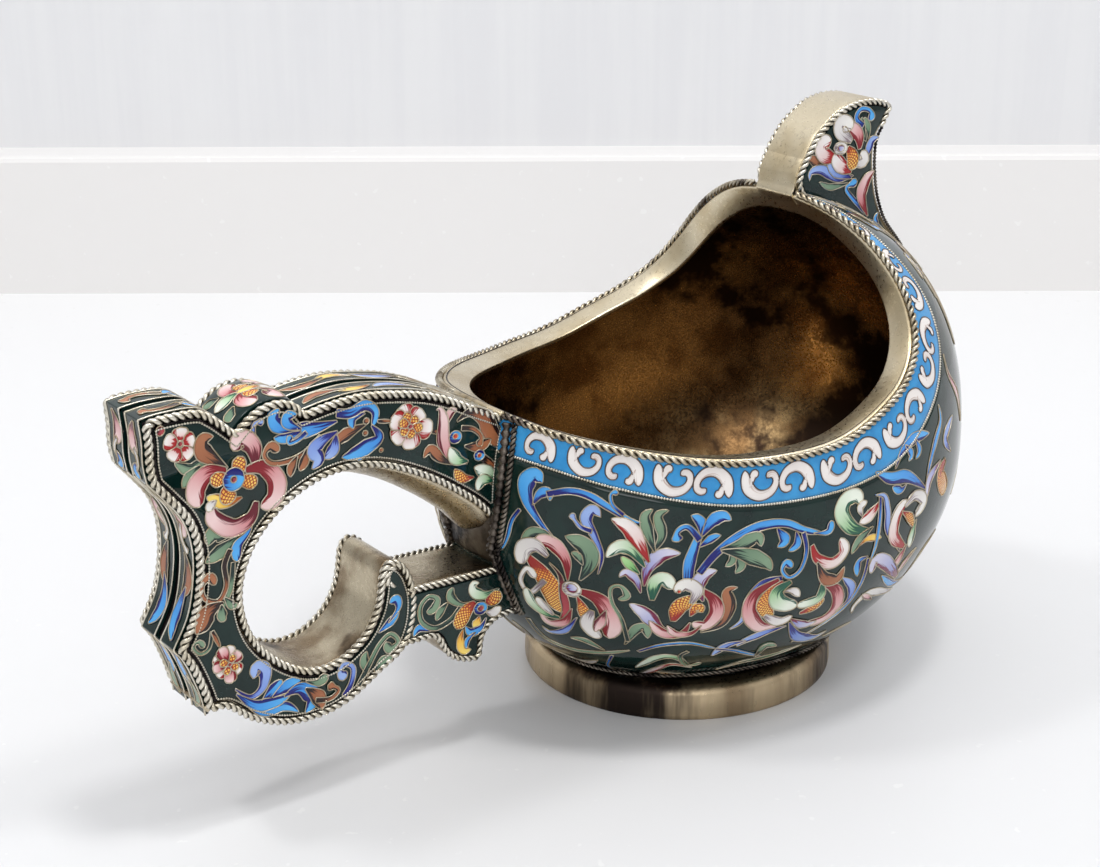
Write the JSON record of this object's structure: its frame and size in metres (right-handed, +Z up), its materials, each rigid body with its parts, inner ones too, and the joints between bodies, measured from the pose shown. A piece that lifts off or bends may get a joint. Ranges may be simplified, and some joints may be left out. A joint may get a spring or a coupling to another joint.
{
  "type": "ladle",
  "caption": "Boat-shaped footed silver ladle with cloisonne enamel, an arched prow and a pierced hook-shaped box handle edged in twisted wire.",
  "frame": {"origin": "on the table under the middle of the whole ladle, prow tip to handle's ear", "axes": "+X along the length towards the prow, the handle at -X, +Y to the ladle's left, +Z up"},
  "size_m": [0.209, 0.1066, 0.1275],
  "materials": {
    "gilt_bowl": "mottled old gilding",
    "silver_gilt": "tarnished silver with worn pale gilding",
    "twisted_wire": "bright twisted silver wire, dark between the turns",
    "field_enamel": "glossy dark green enamel with painted foliage in wire cells",
    "border_enamel": "glossy sky blue enamel with white scrolls"
  },
  "bodies": {
    "root": {"arm_seam_rope_left": "twisted_wire", "arm_seam_rope_right": "twisted_wire", "back_lane_left": "field_enamel", "back_lane_right": "field_enamel", "back_strip": "silver_gilt", "border_enamel_left": "border_enamel", "border_enamel_right": "border_enamel", "border_wire_left": "twisted_wire", "border_wire_right": "twisted_wire", "bottom_strip": "silver_gilt", "bowl_enamel": "field_enamel", "bowl_shell": "gilt_bowl", "bracket_enamel_left": "field_enamel", "bracket_enamel_right": "field_enamel", "bracket_plate_left": "silver_gilt", "bracket_plate_right": "silver_gilt", "bracket_seam_rope_left": "twisted_wire", "bracket_seam_rope_right": "twisted_wire", "bracket_top_rope_left": "twisted_wire", "bracket_top_rope_right": "twisted_wire", "bracket_top_strip": "silver_gilt", "bracket_under_rope_left": "twisted_wire", "bracket_under_rope_right": "twisted_wire", "bracket_under_strip": "silver_gilt", "bump_enamel": "field_enamel", "bump_strip": "silver_gilt", "ear_end_lane_left": "field_enamel", "ear_end_lane_right": "field_enamel", "ear_end_strip": "silver_gilt", "ear_lane_left": "field_enamel", "ear_lane_right": "field_enamel", "ear_strip": "silver_gilt", "foot_ring": "silver_gilt", "foot_rope": "twisted_wire", "handle_enamel_left": "field_enamel", "handle_enamel_right": "field_enamel", "handle_plate_left": "silver_gilt", "handle_plate_right": "silver_gilt", "handle_rope_left": "twisted_wire", "handle_rope_right": "twisted_wire", "loop_strip": "silver_gilt", "lower_back_lane_left": "field_enamel", "lower_back_lane_right": "field_enamel", "lower_back_strip": "silver_gilt", "prow_back_strip": "silver_gilt", "prow_enamel_left": "field_enamel", "prow_enamel_right": "field_enamel", "prow_front_strip": "silver_gilt", "prow_plate_left": "silver_gilt", "prow_plate_right": "silver_gilt", "prow_rope_left": "twisted_wire", "prow_rope_right": "twisted_wire", "rim_lip": "silver_gilt", "rim_rope": "twisted_wire", "top_lane_left": "field_enamel", "top_lane_right": "field_enamel", "top_strip": "silver_gilt"}
  },
  "joints": []
}
